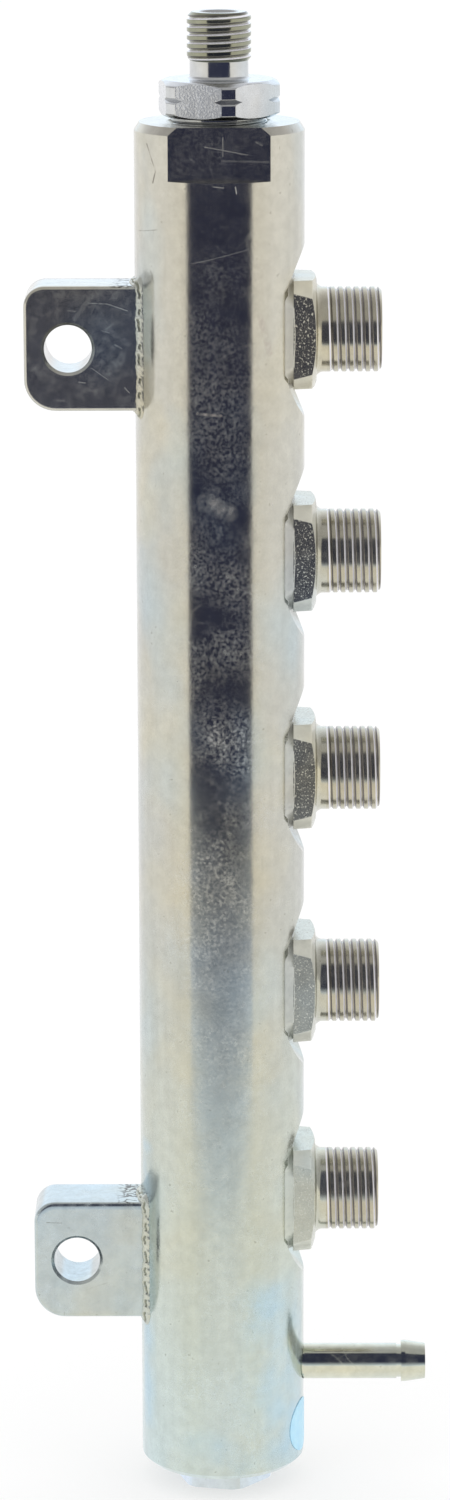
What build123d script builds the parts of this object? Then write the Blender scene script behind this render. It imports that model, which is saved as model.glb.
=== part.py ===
from build123d import *
from math import cos, radians, sin, sqrt, tan
import os

# Diesel common rail, standing upright on the hexagon of its relief valve. Sizes are in millimetres.
# Z runs up along the rail from the valve's end face, +X is the outlet side, -X the mounting side, -Y the front.

# Rail tube
rail_diameter = 32.0
rail_bore_diameter = 10.0
rail_top_chamfer_height = 1.5
rail_top_chamfer_depth = 0.95
rail_bottom_chamfer = 1.0
spanner_flat_width = 19.0
spanner_flat_height = 9.9
end_thread_diameter = 18.0
thread_clearance = 0.1
seat_cone_angle = 60.0
mouth_chamfer = 0.8

# Outlets
outlet_count = 5
outlet_pitch = 42.5
last_outlet_height = 55.0
first_outlet_depth = 39.2
pocket_floor_reach = 12.75
pocket_clearance = 0.15
pocket_wall_angle = 45.0
outlet_drill_diameter = 3.0
spigot_diameter = 8.0
spigot_length = 2.4
spigot_clearance = 0.05
base_width = 20.4
base_thickness = 4.4
foot_over_flats = 0.2
foot_height = 1.05
back_corners_over_flats = 5.7
front_corners_over_flats = 4.6
face_under_flats = 1.0
base_chamfer_angle = 18.0
outlet_neck_diameter = 15.5
outlet_neck_length = 1.1
outlet_thread_diameter = 16.0
outlet_thread_length = 11.15
outlet_end_chamfer = 1.0
outlet_mouth_diameter = 11.2
pipe_cone_angle = 30.0
braze_spread = 1.2
braze_climb = 0.5
braze_bulge = 0.3

# Mounting tabs and their welds
tab_reach = 36.8
tab_height = 23.6
tab_thickness = 12.3
tab_hole_reach = 28.5
tab_hole_diameter = 9.0
tab_hole_chamfer = 0.5
tab_edge_chamfer = 0.4
tab_upper_corner = 4.0
tab_lower_corner = 6.0
tab_below_first_outlet = 2.8
tab_below_last_outlet = 12.8
weld_side_leg = 1.5
weld_end_leg = 2.2
weld_throat = 1.4
weld_corner = 1.2

# End adaptor
adaptor_gap = 1.0
adaptor_hex_width = 21.0
adaptor_hex_height = 6.9
adaptor_corner_diameter = 22.9
adaptor_face_diameter = 20.0
adaptor_hex_turn = 8.9
adaptor_groove_depth = 0.55
adaptor_neck_diameter = 11.0
adaptor_neck_length = 3.4
adaptor_thread_diameter = 12.0
adaptor_thread_length = 9.0
adaptor_end_chamfer = 0.9
adaptor_mouth_diameter = 7.5
adaptor_stem_length = 12.0
adaptor_relief_length = 2.0
adaptor_nose_diameter = 15.8
adaptor_nose_tip_diameter = 8.0
hex_chamfer_angle = 30.0
hex_sides = 6

# Return barb
barb_below_last_outlet = 36.0
barb_diameter = 7.0
barb_spigot_diameter = 6.4
barb_bore_diameter = 4.5
barb_reach = 40.0
barb_insertion = 5.0
barb_bead_diameter = 8.2
barb_bead_reach = 35.25
barb_bead_land = 0.8
barb_groove_depth = 0.25
barb_groove_width = 0.9
return_drill_diameter = 4.0

# Relief valve
valve_head_width = 17.0
valve_head_height = 4.6
valve_head_corner_diameter = 19.2
valve_head_face_diameter = 18.6
valve_head_turn = 18.2
valve_undercut_diameter = 15.9
valve_undercut_length = 1.5
valve_thread_length = 12.0
valve_shank_diameter = 14.0
valve_bore_clearance = 0.1
valve_shank_length = 26.0
ring_groove_depth = 1.2
ring_groove_width = 2.2
ring_groove_below_port = 5.1
ring_side_clearance = 0.2
ring_corner_radius = 0.4
leak_chamber_height = 5.6
leak_chamber_depth = 1.4
leak_hole_diameter = 2.0
spring_chamber_diameter = 8.0
spring_chamber_floor = 9.0
seat_spigot_diameter = 10.0
seat_spigot_length = 3.0
seat_flange_height = 1.2
seat_tip_diameter = 10.4
seat_hole_diameter = 1.6
seat_mouth_diameter = 3.2
plunger_clearance = 0.1
plunger_length = 5.0
plunger_flat_depth = 0.9
plunger_flat_count = 3
plunger_cone_diameter = 3.8
plunger_tip_diameter = 0.6
plunger_seat_gap = 0.1
plunger_spigot_diameter = 4.0
plunger_spigot_length = 1.5
shim_diameter = 7.6
shim_hole_diameter = 3.0
shim_thickness = 1.0
spring_mean_diameter = 6.0
spring_wire_diameter = 1.2
spring_turns = 6.5

# Sticker on the lower right side of the tube
sticker_diameter = 10.6
sticker_thickness = 0.12
sticker_height = 7.4
sticker_azimuth = 75.0

# Places worked out from the sizes above
rail_radius = rail_diameter / 2
rail_bottom = valve_head_height
last_outlet_level = rail_bottom + last_outlet_height
outlet_levels = [last_outlet_level + outlet_pitch * step for step in reversed(range(outlet_count))]
rail_top = outlet_levels[0] + first_outlet_depth
base_back_reach = pocket_floor_reach + foot_height
base_front_reach = base_back_reach + base_thickness
foot_radius = (base_width + foot_over_flats) / 2
base_back_radius = (base_width + back_corners_over_flats) / 2
base_front_radius = (base_width + front_corners_over_flats) / 2
base_face_radius = (base_width - face_under_flats) / 2
pocket_floor_radius = base_back_radius + pocket_clearance
tab_levels = {
    "upper": outlet_levels[0] - tab_below_first_outlet,
    "lower": outlet_levels[-1] - tab_below_last_outlet,
}
barb_level = last_outlet_level - barb_below_last_outlet
barb_start = rail_radius - barb_insertion
flat_depth = sqrt(rail_radius**2 - (spanner_flat_width / 2) ** 2)
tapped_radius = end_thread_diameter / 2 + thread_clearance
valve_bore_radius = valve_shank_diameter / 2 + valve_bore_clearance
valve_shank_top = rail_bottom + valve_shank_length
seat_cone_slope = 1 / tan(radians(seat_cone_angle))
pipe_cone_slope = 1 / tan(radians(pipe_cone_angle))
hex_chamfer_slope = tan(radians(hex_chamfer_angle))


def save(piece, name):
    piece.part.label = name
    export_step(piece.part, f"parts/{name}.step")


def outlet_plane(level, reach):
    """A sketch plane across an outlet's axis, at a reach along +X."""
    return Plane(origin=(reach, 0, level), x_dir=(0, 1, 0), z_dir=(1, 0, 0))


def axial_plane(level):
    """A sketch plane that holds an outlet's axis: local x is the reach, local y the radius."""
    return Plane(origin=(0, 0, level), x_dir=(1, 0, 0), z_dir=(0, -1, 0))


def outlet_axis(level):
    return Axis((0, 0, level), (1, 0, 0))


def outline(plane, points):
    """A closed face with straight sides through the points, on a plane."""
    with BuildSketch(plane) as drawing:
        with BuildLine():
            Polyline(*points, close=True)
        make_face()
    return drawing.sketch


os.makedirs("parts", exist_ok=True)

# Rail body: a turned tube, tapped at both ends, with a cone seat at the bottom of each tapped hole
adaptor_relief_end = rail_top - adaptor_stem_length - adaptor_relief_length
upper_cone_start = adaptor_relief_end + (tapped_radius - adaptor_nose_diameter / 2) * seat_cone_slope
upper_cone_end = upper_cone_start - (tapped_radius - rail_bore_diameter / 2) * seat_cone_slope
seat_flange_top = valve_shank_top + seat_flange_height
lower_cone_start = seat_flange_top - valve_bore_clearance * seat_cone_slope
lower_cone_end = lower_cone_start + (valve_bore_radius - rail_bore_diameter / 2) * seat_cone_slope
valve_thread_end = rail_bottom + valve_thread_length
tapped_end_cone = (tapped_radius - valve_bore_radius) * seat_cone_slope

with BuildPart() as rail_body:
    revolve(outline(Plane.XZ, [
        (rail_radius - rail_bottom_chamfer, rail_bottom),
        (rail_radius, rail_bottom + rail_bottom_chamfer),
        (rail_radius, rail_top - rail_top_chamfer_height),
        (rail_radius - rail_top_chamfer_depth, rail_top),
        (tapped_radius + mouth_chamfer, rail_top),
        (tapped_radius, rail_top - mouth_chamfer),
        (tapped_radius, upper_cone_start),
        (rail_bore_diameter / 2, upper_cone_end),
        (rail_bore_diameter / 2, lower_cone_end),
        (valve_bore_radius, lower_cone_start),
        (valve_bore_radius, valve_thread_end + tapped_end_cone),
        (tapped_radius, valve_thread_end),
        (tapped_radius, rail_bottom),
    ]), axis=Axis.Z)
    # Spanner flats at the upper end, front and back
    for side in (-1, 1):
        with BuildSketch(Plane.XY.offset(rail_top)):
            with Locations((0, side * (flat_depth + rail_radius) / 2)):
                Rectangle(rail_diameter, rail_radius - flat_depth)
        extrude(amount=-spanner_flat_height, mode=Mode.SUBTRACT)
    # Conical pockets, pilot holes and cross drillings of the outlets
    pocket_mouth_reach = rail_radius + mouth_chamfer
    pocket_spread = (pocket_mouth_reach - pocket_floor_reach) * tan(radians(pocket_wall_angle))
    pilot_radius = spigot_diameter / 2 + spigot_clearance
    for level in outlet_levels:
        revolve(outline(axial_plane(level), [
            (0, 0),
            (0, outlet_drill_diameter / 2),
            (pocket_floor_reach - spigot_length, outlet_drill_diameter / 2),
            (pocket_floor_reach - spigot_length, pilot_radius),
            (pocket_floor_reach, pilot_radius),
            (pocket_floor_reach, pocket_floor_radius),
            (pocket_mouth_reach, pocket_floor_radius + pocket_spread),
            (pocket_mouth_reach, 0),
        ]), axis=outlet_axis(level), mode=Mode.SUBTRACT)
    # Return port: a drilling into the leak-off chamber and a socket for the barb's spigot
    with BuildSketch(outlet_plane(barb_level, rail_radius)):
        Circle(barb_spigot_diameter / 2)
    extrude(amount=-barb_insertion, mode=Mode.SUBTRACT)
    with BuildSketch(outlet_plane(barb_level, rail_radius)):
        Circle(return_drill_diameter / 2)
    extrude(amount=valve_shank_diameter / 2 - rail_radius, mode=Mode.SUBTRACT)
save(rail_body, "rail_body")

# Outlet fittings: square base with turned corners, round foot and spigot, neck and threaded nipple
base_chamfer_depth = (base_front_radius - base_face_radius) * tan(radians(base_chamfer_angle))
outlet_neck_end = base_front_reach + outlet_neck_length
outlet_end_reach = outlet_neck_end + outlet_thread_length
outlet_cone_depth = (outlet_mouth_diameter - outlet_drill_diameter) / 2 * pipe_cone_slope
for number, level in enumerate(outlet_levels, start=1):
    with BuildPart() as outlet_fitting:
        with BuildSketch(outlet_plane(level, base_back_reach)):
            Rectangle(base_width, base_width)
        extrude(amount=base_thickness)
        revolve(outline(axial_plane(level), [
            (base_back_reach, 0),
            (base_back_reach, base_back_radius),
            (base_front_reach - base_chamfer_depth, base_front_radius),
            (base_front_reach, base_face_radius),
            (base_front_reach, 0),
        ]), axis=outlet_axis(level), mode=Mode.INTERSECT)
        revolve(outline(axial_plane(level), [
            (pocket_floor_reach - spigot_length, 0),
            (pocket_floor_reach - spigot_length, spigot_diameter / 2),
            (pocket_floor_reach, spigot_diameter / 2),
            (pocket_floor_reach, foot_radius),
            (base_back_reach, foot_radius),
            (base_back_reach, outlet_neck_diameter / 2),
            (outlet_neck_end, outlet_neck_diameter / 2),
            (outlet_neck_end, outlet_thread_diameter / 2),
            (outlet_end_reach - outlet_end_chamfer, outlet_thread_diameter / 2),
            (outlet_end_reach, outlet_thread_diameter / 2 - outlet_end_chamfer),
            (outlet_end_reach, 0),
        ]), axis=outlet_axis(level))
        revolve(outline(axial_plane(level), [
            (pocket_floor_reach - spigot_length, 0),
            (pocket_floor_reach - spigot_length, outlet_drill_diameter / 2),
            (outlet_end_reach - outlet_cone_depth, outlet_drill_diameter / 2),
            (outlet_end_reach, outlet_mouth_diameter / 2),
            (outlet_end_reach, 0),
        ]), axis=outlet_axis(level), mode=Mode.SUBTRACT)
    save(outlet_fitting, f"outlet_fitting_{number}")

    # Braze ring: the hollow fillet between the pocket's floor and the fitting
    with BuildPart() as braze_ring:
        with BuildSketch(axial_plane(level)):
            fillet_start = (pocket_floor_reach, foot_radius + braze_spread)
            fillet_end = (base_back_reach + braze_climb, base_width / 2)
            with BuildLine():
                Polyline(fillet_end, (pocket_floor_reach, base_width / 2), fillet_start)
                SagittaArc(fillet_start, fillet_end, braze_bulge)
            make_face()
        revolve(axis=outlet_axis(level))
        add(outlet_fitting.part, mode=Mode.SUBTRACT)
    save(braze_ring, f"braze_ring_{number}")

# Mounting tabs: thick plates cut round at the tube, with a chamfered bolt hole
for place, level in tab_levels.items():
    with BuildPart() as mounting_tab:
        tab_low = level - tab_height / 2
        tab_high = level + tab_height / 2
        with BuildSketch(Plane.XZ.offset(-tab_thickness / 2)):
            with BuildLine():
                rim = FilletPolyline(
                    (0, tab_low),
                    (-tab_reach, tab_low),
                    (-tab_reach, tab_high),
                    (0, tab_high),
                    radius=[tab_lower_corner, tab_upper_corner],
                )
                Line(rim @ 1, rim @ 0)
            make_face()
        extrude(amount=tab_thickness)
        outer_faces = mounting_tab.faces().filter_by(Axis.Y).sort_by(Axis.Y)
        for face in (outer_faces[0], outer_faces[-1]):
            outer_edges = [edge for edge in face.outer_wire().edges() if edge.center().X < -tab_edge_chamfer]
            chamfer(outer_edges, tab_edge_chamfer)
        with Locations(Plane(origin=(-tab_hole_reach, 0, level), x_dir=(1, 0, 0), z_dir=(0, -1, 0))):
            Hole(tab_hole_diameter / 2)
        chamfer(mounting_tab.edges(Select.LAST).filter_by(GeomType.CIRCLE), tab_hole_chamfer)
        with BuildSketch(Plane.XY.offset(level - tab_height)):
            Circle(rail_radius)
        extrude(amount=2 * tab_height, mode=Mode.SUBTRACT)
    save(mounting_tab, f"mounting_tab_{place}")

    # Weld bead all round the plate's root, where it meets the tube
    with BuildPart() as tab_weld:
        root_reach = sqrt(rail_radius**2 - (tab_thickness / 2 + weld_side_leg) ** 2)
        for reach, side_leg, end_leg in ((root_reach, weld_side_leg, weld_end_leg), (rail_radius + weld_throat, 0, 0)):
            with BuildSketch(Plane(origin=(-reach, 0, level), x_dir=(0, 1, 0), z_dir=(-1, 0, 0))):
                RectangleRounded(
                    tab_thickness + 2 * side_leg + tab_edge_chamfer,
                    tab_height + 2 * end_leg + tab_edge_chamfer,
                    weld_corner,
                )
        loft()
        add(mounting_tab.part, mode=Mode.SUBTRACT)
        with BuildSketch(Plane.XY.offset(level - tab_height)):
            Circle(rail_radius)
        extrude(amount=2 * tab_height, mode=Mode.SUBTRACT)
    save(tab_weld, f"tab_weld_{place}")

# End adaptor: hexagon with turned corners and a witness groove, nipple above, threaded stem below
adaptor_hex_bottom = rail_top + adaptor_gap
adaptor_hex_top = adaptor_hex_bottom + adaptor_hex_height
adaptor_neck_top = adaptor_hex_top + adaptor_neck_length
adaptor_top = adaptor_neck_top + adaptor_thread_length
adaptor_stem_end = rail_top - adaptor_stem_length
adaptor_nose_end = adaptor_relief_end - (adaptor_nose_diameter - adaptor_nose_tip_diameter) / 2 * seat_cone_slope
adaptor_cone_depth = (adaptor_mouth_diameter - outlet_drill_diameter) / 2 * pipe_cone_slope
adaptor_corner_radius = adaptor_corner_diameter / 2
adaptor_chamfer_height = (adaptor_corner_diameter - adaptor_face_diameter) / 2 * hex_chamfer_slope
adaptor_hex_middle = (adaptor_hex_bottom + adaptor_hex_top) / 2
front = -90
with BuildPart() as end_adaptor:
    with BuildSketch(Plane.XY.offset(adaptor_hex_bottom)):
        RegularPolygon(adaptor_hex_width / 2, hex_sides, major_radius=False, rotation=front + adaptor_hex_turn)
    extrude(amount=adaptor_hex_height)
    revolve(outline(Plane.XZ, [
        (0, adaptor_hex_bottom),
        (adaptor_face_diameter / 2, adaptor_hex_bottom),
        (adaptor_corner_radius, adaptor_hex_bottom + adaptor_chamfer_height),
        (adaptor_corner_radius, adaptor_hex_middle - adaptor_groove_depth),
        (adaptor_corner_radius - adaptor_groove_depth, adaptor_hex_middle),
        (adaptor_corner_radius, adaptor_hex_middle + adaptor_groove_depth),
        (adaptor_corner_radius, adaptor_hex_top - adaptor_chamfer_height),
        (adaptor_face_diameter / 2, adaptor_hex_top),
        (0, adaptor_hex_top),
    ]), axis=Axis.Z, mode=Mode.INTERSECT)
    revolve(outline(Plane.XZ, [
        (0, adaptor_nose_end),
        (adaptor_nose_tip_diameter / 2, adaptor_nose_end),
        (adaptor_nose_diameter / 2, adaptor_relief_end),
        (adaptor_nose_diameter / 2, adaptor_stem_end),
        (end_thread_diameter / 2, adaptor_stem_end),
        (end_thread_diameter / 2, adaptor_hex_bottom),
        (adaptor_neck_diameter / 2, adaptor_hex_bottom),
        (adaptor_neck_diameter / 2, adaptor_neck_top),
        (adaptor_thread_diameter / 2, adaptor_neck_top),
        (adaptor_thread_diameter / 2, adaptor_top - adaptor_end_chamfer),
        (adaptor_thread_diameter / 2 - adaptor_end_chamfer, adaptor_top),
        (0, adaptor_top),
    ]), axis=Axis.Z)
    revolve(outline(Plane.XZ, [
        (0, adaptor_nose_end),
        (outlet_drill_diameter / 2, adaptor_nose_end),
        (outlet_drill_diameter / 2, adaptor_top - adaptor_cone_depth),
        (adaptor_mouth_diameter / 2, adaptor_top),
        (0, adaptor_top),
    ]), axis=Axis.Z, mode=Mode.SUBTRACT)
save(end_adaptor, "end_adaptor")

# Return barb: a spigot in the rail, then a tube with a groove and a tapered bead near its open end
groove_start = barb_bead_reach - barb_groove_width
bead_land_end = barb_bead_reach + barb_bead_land
with BuildPart() as return_barb:
    revolve(outline(axial_plane(barb_level), [
        (barb_start, barb_bore_diameter / 2),
        (barb_start, barb_spigot_diameter / 2),
        (rail_radius, barb_spigot_diameter / 2),
        (rail_radius, barb_diameter / 2),
        (groove_start, barb_diameter / 2),
        (groove_start, barb_diameter / 2 - barb_groove_depth),
        (barb_bead_reach, barb_diameter / 2 - barb_groove_depth),
        (barb_bead_reach, barb_bead_diameter / 2),
        (bead_land_end, barb_bead_diameter / 2),
        (barb_reach, barb_diameter / 2),
        (barb_reach, barb_bore_diameter / 2),
    ]), axis=outlet_axis(barb_level))
save(return_barb, "return_barb")

# Relief valve body: hexagon head, thread, grooves for the sealing ring and the leak-off, spring chamber
shank_radius = valve_shank_diameter / 2
chamber_low = barb_level - leak_chamber_height / 2
chamber_high = barb_level + leak_chamber_height / 2
ring_level = barb_level - ring_groove_below_port
ring_low = ring_level - ring_groove_width / 2
ring_high = ring_level + ring_groove_width / 2
ring_radius = shank_radius - ring_groove_depth
chamber_radius = shank_radius - leak_chamber_depth
undercut_end = rail_bottom + valve_undercut_length
valve_chamfer_height = (valve_head_corner_diameter - valve_head_face_diameter) / 2 * hex_chamfer_slope
spring_chamber_radius = spring_chamber_diameter / 2
seat_spigot_level = valve_shank_top - seat_spigot_length
with BuildPart() as valve_body:
    with BuildSketch(Plane.XY):
        RegularPolygon(valve_head_width / 2, hex_sides, major_radius=False, rotation=front + valve_head_turn)
    extrude(amount=valve_head_height)
    revolve(outline(Plane.XZ, [
        (0, 0),
        (valve_head_face_diameter / 2, 0),
        (valve_head_corner_diameter / 2, valve_chamfer_height),
        (valve_head_corner_diameter / 2, valve_head_height),
        (0, valve_head_height),
    ]), axis=Axis.Z, mode=Mode.INTERSECT)
    revolve(outline(Plane.XZ, [
        (0, rail_bottom),
        (valve_undercut_diameter / 2, rail_bottom),
        (valve_undercut_diameter / 2, undercut_end),
        (end_thread_diameter / 2, undercut_end),
        (end_thread_diameter / 2, valve_thread_end),
        (shank_radius, valve_thread_end),
        (shank_radius, ring_low),
        (ring_radius, ring_low),
        (ring_radius, ring_high),
        (shank_radius, ring_high),
        (shank_radius, chamber_low),
        (chamber_radius, chamber_low),
        (chamber_radius, chamber_high),
        (shank_radius, chamber_high),
        (shank_radius, valve_shank_top),
        (0, valve_shank_top),
    ]), axis=Axis.Z)
    revolve(outline(Plane.XZ, [
        (0, spring_chamber_floor),
        (spring_chamber_radius, spring_chamber_floor),
        (spring_chamber_radius, seat_spigot_level),
        (seat_spigot_diameter / 2, seat_spigot_level),
        (seat_spigot_diameter / 2, valve_shank_top),
        (0, valve_shank_top),
    ]), axis=Axis.Z, mode=Mode.SUBTRACT)
    with BuildSketch(outlet_plane(barb_level, 0)):
        Circle(leak_hole_diameter / 2)
    extrude(amount=shank_radius, both=True, mode=Mode.SUBTRACT)
save(valve_body, "valve_body")

# Sealing ring, squeezed between the groove's floor and the rail's bore
with BuildPart() as valve_o_ring:
    with BuildSketch(Plane.XZ):
        with Locations(((ring_radius + valve_bore_radius) / 2, ring_level)):
            RectangleRounded(
                valve_bore_radius - ring_radius,
                ring_groove_width - 2 * ring_side_clearance,
                ring_corner_radius,
            )
    revolve(axis=Axis.Z)
save(valve_o_ring, "valve_o_ring")

# Valve seat: pressed into the shank, its cone face seals against the rail, its hole is closed by the plunger
seat_cone_top = seat_flange_top + (shank_radius - seat_tip_diameter / 2) * seat_cone_slope
seat_mouth_height = (seat_mouth_diameter - seat_hole_diameter) / 2 * pipe_cone_slope
with BuildPart() as valve_seat:
    revolve(outline(Plane.XZ, [
        (seat_mouth_diameter / 2, seat_spigot_level),
        (seat_spigot_diameter / 2, seat_spigot_level),
        (seat_spigot_diameter / 2, valve_shank_top),
        (shank_radius, valve_shank_top),
        (shank_radius, seat_flange_top),
        (seat_tip_diameter / 2, seat_cone_top),
        (seat_hole_diameter / 2, seat_cone_top),
        (seat_hole_diameter / 2, seat_spigot_level + seat_mouth_height),
    ]), axis=Axis.Z)
save(valve_seat, "valve_seat")

# Plunger: three flats let the leaking fuel past, its cone point closes the seat
plunger_radius = spring_chamber_radius - plunger_clearance
cone_overlap = (plunger_cone_diameter - seat_mouth_diameter) / 2 * pipe_cone_slope
plunger_top = seat_spigot_level - cone_overlap - plunger_seat_gap
plunger_bottom = plunger_top - plunger_length
plunger_tip = plunger_top + (plunger_cone_diameter - plunger_tip_diameter) / 2 * pipe_cone_slope
with BuildPart() as valve_poppet:
    with BuildSketch(Plane.XY.offset(plunger_bottom)):
        Circle(plunger_radius)
        with PolarLocations(plunger_radius, plunger_flat_count):
            Rectangle(2 * plunger_flat_depth, 2 * plunger_radius, mode=Mode.SUBTRACT)
    extrude(amount=plunger_length)
    revolve(outline(Plane.XZ, [
        (0, plunger_bottom - plunger_spigot_length),
        (plunger_spigot_diameter / 2, plunger_bottom - plunger_spigot_length),
        (plunger_spigot_diameter / 2, plunger_bottom),
        (plunger_cone_diameter / 2, plunger_bottom),
        (plunger_cone_diameter / 2, plunger_top),
        (plunger_tip_diameter / 2, plunger_tip),
        (0, plunger_tip),
    ]), axis=Axis.Z)
save(valve_poppet, "valve_poppet")

# Shim under the spring
shim_top = spring_chamber_floor + shim_thickness
with BuildPart() as spring_shim:
    with BuildSketch(Plane.XY.offset(spring_chamber_floor)):
        Circle(shim_diameter / 2)
        Circle(shim_hole_diameter / 2, mode=Mode.SUBTRACT)
    extrude(amount=shim_thickness)
save(spring_shim, "spring_shim")

# Spring: round wire wound on a helix, its ends ground flat against the shim and the plunger
spring_length = plunger_bottom - shim_top
with BuildPart() as valve_spring:
    with BuildLine(Plane.XY.offset(shim_top)):
        coil = Helix(spring_length / spring_turns, spring_length, spring_mean_diameter / 2)
    with BuildSketch(Plane(origin=coil @ 0, z_dir=coil % 0)):
        Circle(spring_wire_diameter / 2)
    sweep()
    with BuildSketch(Plane.XY.offset(shim_top)):
        Circle(spring_mean_diameter)
    extrude(amount=spring_length, mode=Mode.INTERSECT)
save(valve_spring, "valve_spring")

# Sticker: a thin paper disc bent round the tube
sticker_level = rail_bottom + sticker_height
sticker_direction = (sin(radians(sticker_azimuth)), -cos(radians(sticker_azimuth)), 0)
with BuildPart() as id_sticker:
    with BuildSketch(Plane.XY.offset(sticker_level - sticker_diameter)):
        Circle(rail_radius + sticker_thickness)
        Circle(rail_radius, mode=Mode.SUBTRACT)
    extrude(amount=2 * sticker_diameter)
    with BuildSketch(Plane(origin=(0, 0, sticker_level), z_dir=sticker_direction)):
        Circle(sticker_diameter / 2)
    extrude(amount=rail_diameter, mode=Mode.INTERSECT)
save(id_sticker, "id_sticker")
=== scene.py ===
import math

import bpy
import numpy as np
from mathutils import Matrix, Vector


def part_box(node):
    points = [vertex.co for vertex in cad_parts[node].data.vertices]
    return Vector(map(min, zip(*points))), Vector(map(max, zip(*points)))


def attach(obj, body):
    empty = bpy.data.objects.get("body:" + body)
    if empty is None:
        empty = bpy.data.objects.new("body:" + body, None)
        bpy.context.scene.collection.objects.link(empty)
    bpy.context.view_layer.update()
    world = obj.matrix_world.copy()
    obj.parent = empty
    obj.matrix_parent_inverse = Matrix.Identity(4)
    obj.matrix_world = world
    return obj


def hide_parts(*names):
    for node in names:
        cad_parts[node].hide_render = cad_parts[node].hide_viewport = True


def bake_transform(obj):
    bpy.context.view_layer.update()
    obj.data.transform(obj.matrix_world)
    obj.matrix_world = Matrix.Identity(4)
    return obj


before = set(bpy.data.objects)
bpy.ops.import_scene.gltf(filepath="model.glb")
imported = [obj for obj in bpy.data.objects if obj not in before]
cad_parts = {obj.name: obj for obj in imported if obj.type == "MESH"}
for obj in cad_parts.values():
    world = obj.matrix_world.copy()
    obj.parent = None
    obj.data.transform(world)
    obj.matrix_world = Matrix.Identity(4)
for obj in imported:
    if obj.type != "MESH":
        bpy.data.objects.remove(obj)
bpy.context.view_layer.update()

# Sizes are in millimetres unless a name says otherwise. Z runs up the rail, +X is the outlet side, -Y the
# front.
MM = 0.001

# Outlet fitting, along its own axis
outlet_count = 5
spigot_radius = 4.0
pocket_floor_reach = 12.75
foot_radius = 9.5
base_flats = 10.2
base_back_reach = 13.8
base_front_reach = 18.2
base_back_radius = 13.05
base_front_radius = 12.5
base_face_radius = 9.7
base_chamfer_depth = 0.91
outlet_neck_radius = 8.7
outlet_land_start = 19.0
outlet_thread_start = 20.2
outlet_thread_radius = 8.0
outlet_end_chamfer = 0.7
outlet_mouth_radius = 5.6
drill_radius = 1.5
pipe_cone_slope = math.sqrt(3)
thread_pitch = 1.5
thread_depth = 0.5
thread_phase = 0.4
thread_band = 1.05

# End adaptor, along the rail
adaptor_hex_flats = 10.71
adaptor_hex_height = 6.9
adaptor_corner_radius = 11.7
adaptor_face_radius = 10.2
adaptor_chamfer_height = 0.84
adaptor_groove_depth = 0.55
adaptor_turn = 8.9
adaptor_neck_radius = 5.5
adaptor_neck_length = 3.4
adaptor_thread_radius = 6.0
adaptor_thread_length = 9.0
adaptor_thread_chamfer = 0.6
adaptor_end_chamfer = 0.9
adaptor_mouth_radius = 3.75
stem_length = 13.0
stem_radius = 9.0
nose_radius = 7.9
nose_tip_radius = 4.0
nose_height = 2.25

# Braze round the nipples
collar_limit_radius = 11.7
collar_width = 0.85
collar_dip = 0.18
collar_inner_radius = 9.4
pocket_half_width = 10.4

# Tabs and their weld beads
rail_radius = 16.0
tab_reach = 36.8
tab_root = 13.2
tab_root_corner = 1.2
tab_half_thickness = 6.15
tab_half_height = 11.8
tab_upper_corner = 4.0
tab_lower_corner = 6.0
tab_edge_radius = 0.75
tab_hole_reach = 28.5
tab_hole_radius = 4.5
tab_hole_chamfer = 0.55
weld_leg = 1.0
weld_end_leg = 0.8
weld_runout = 1.6
weld_climb = 1.0
weld_bulge = 0.16
weld_corner = 0.7
weld_samples = 520
weld_runout_length = 1.1
weld_pool_depth = 0.24
weld_ripple_pitch = 3.2

# Spring of the relief valve
spring_mean_radius = 3.0
spring_wire_radius = 0.6
spring_turns = 6.5

# Marks on the front of the tube and of the tabs: two ends (x, z), width and strength
tube_scratches = [
    ((0.7, 267.0), (0.7, 263.5), 0.2, 0.3),
    ((-2.7, 265.3), (5.3, 263.8), 0.2, 0.3),
    ((0.5, 262.7), (9.2, 262.5), 0.5, 0.1),
    ((6.8, 266.2), (7.9, 265.6), 0.5, 0.14),
    ((-5.4, 263.2), (-4.6, 262.5), 0.3, 0.15),
    ((-1.0, 258.3), (0.8, 258.1), 0.3, 0.3),
    ((3.0, 258.2), (3.2, 257.0), 0.3, 0.5),
    ((-5.1, 244.0), (5.3, 246.6), 0.2, 0.2),
]
tube_dark_scratches = [
    ((-13.4, 265.5), (-11.8, 260.6), 0.3, 0.6),
    ((-11.8, 260.6), (-12.3, 258.4), 0.35, 0.7),
    ((-15.0, 249.0), (-11.6, 249.8), 0.3, 0.5),
    ((-12.8, 242.0), (-12.2, 239.8), 0.25, 0.5),
]
tube_stains = [
    ((-4.2, 216.0), (0.2, 215.7), 0.7, 0.6),
    ((-2.6, 199.4), (1.6, 197.4), 4.0, 0.35),
    ((7.6, 234.0), (9.4, 227.0), 1.6, 0.3),
]
tube_blue_films = [
    ((9.0, 40.0), (12.0, 12.0), 16.0, 0.45),
    ((-15.6, 70.0), (-15.2, 14.0), 5.0, 0.4),
    ((-4.0, 12.0), (4.0, 8.0), 9.0, 0.25),
]
tab_scratches = [
    ((-24.6, 235.5), (-21.0, 235.3), 0.2, 0.2),
    ((-21.0, 235.3), (-17.2, 234.0), 0.2, 0.3),
    ((-23.8, 236.9), (-27.1, 232.6), 1.2, 0.08),
    ((-24.2, 223.3), (-21.0, 221.0), 0.2, 0.2),
    ((-22.1, 230.3), (-20.6, 229.8), 0.2, 0.2),
    ((-26.5, 220.6), (-25.3, 220.4), 0.25, 0.3),
    ((-17.9, 219.5), (-17.0, 218.5), 0.25, 0.3),
    ((-28.4, 234.1), (-26.8, 233.9), 0.3, 0.15),
    ((-31.0, 217.2), (-29.2, 217.0), 0.25, 0.15),
    ((-19.6, 227.6), (-18.4, 226.9), 0.25, 0.2),
]
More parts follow.
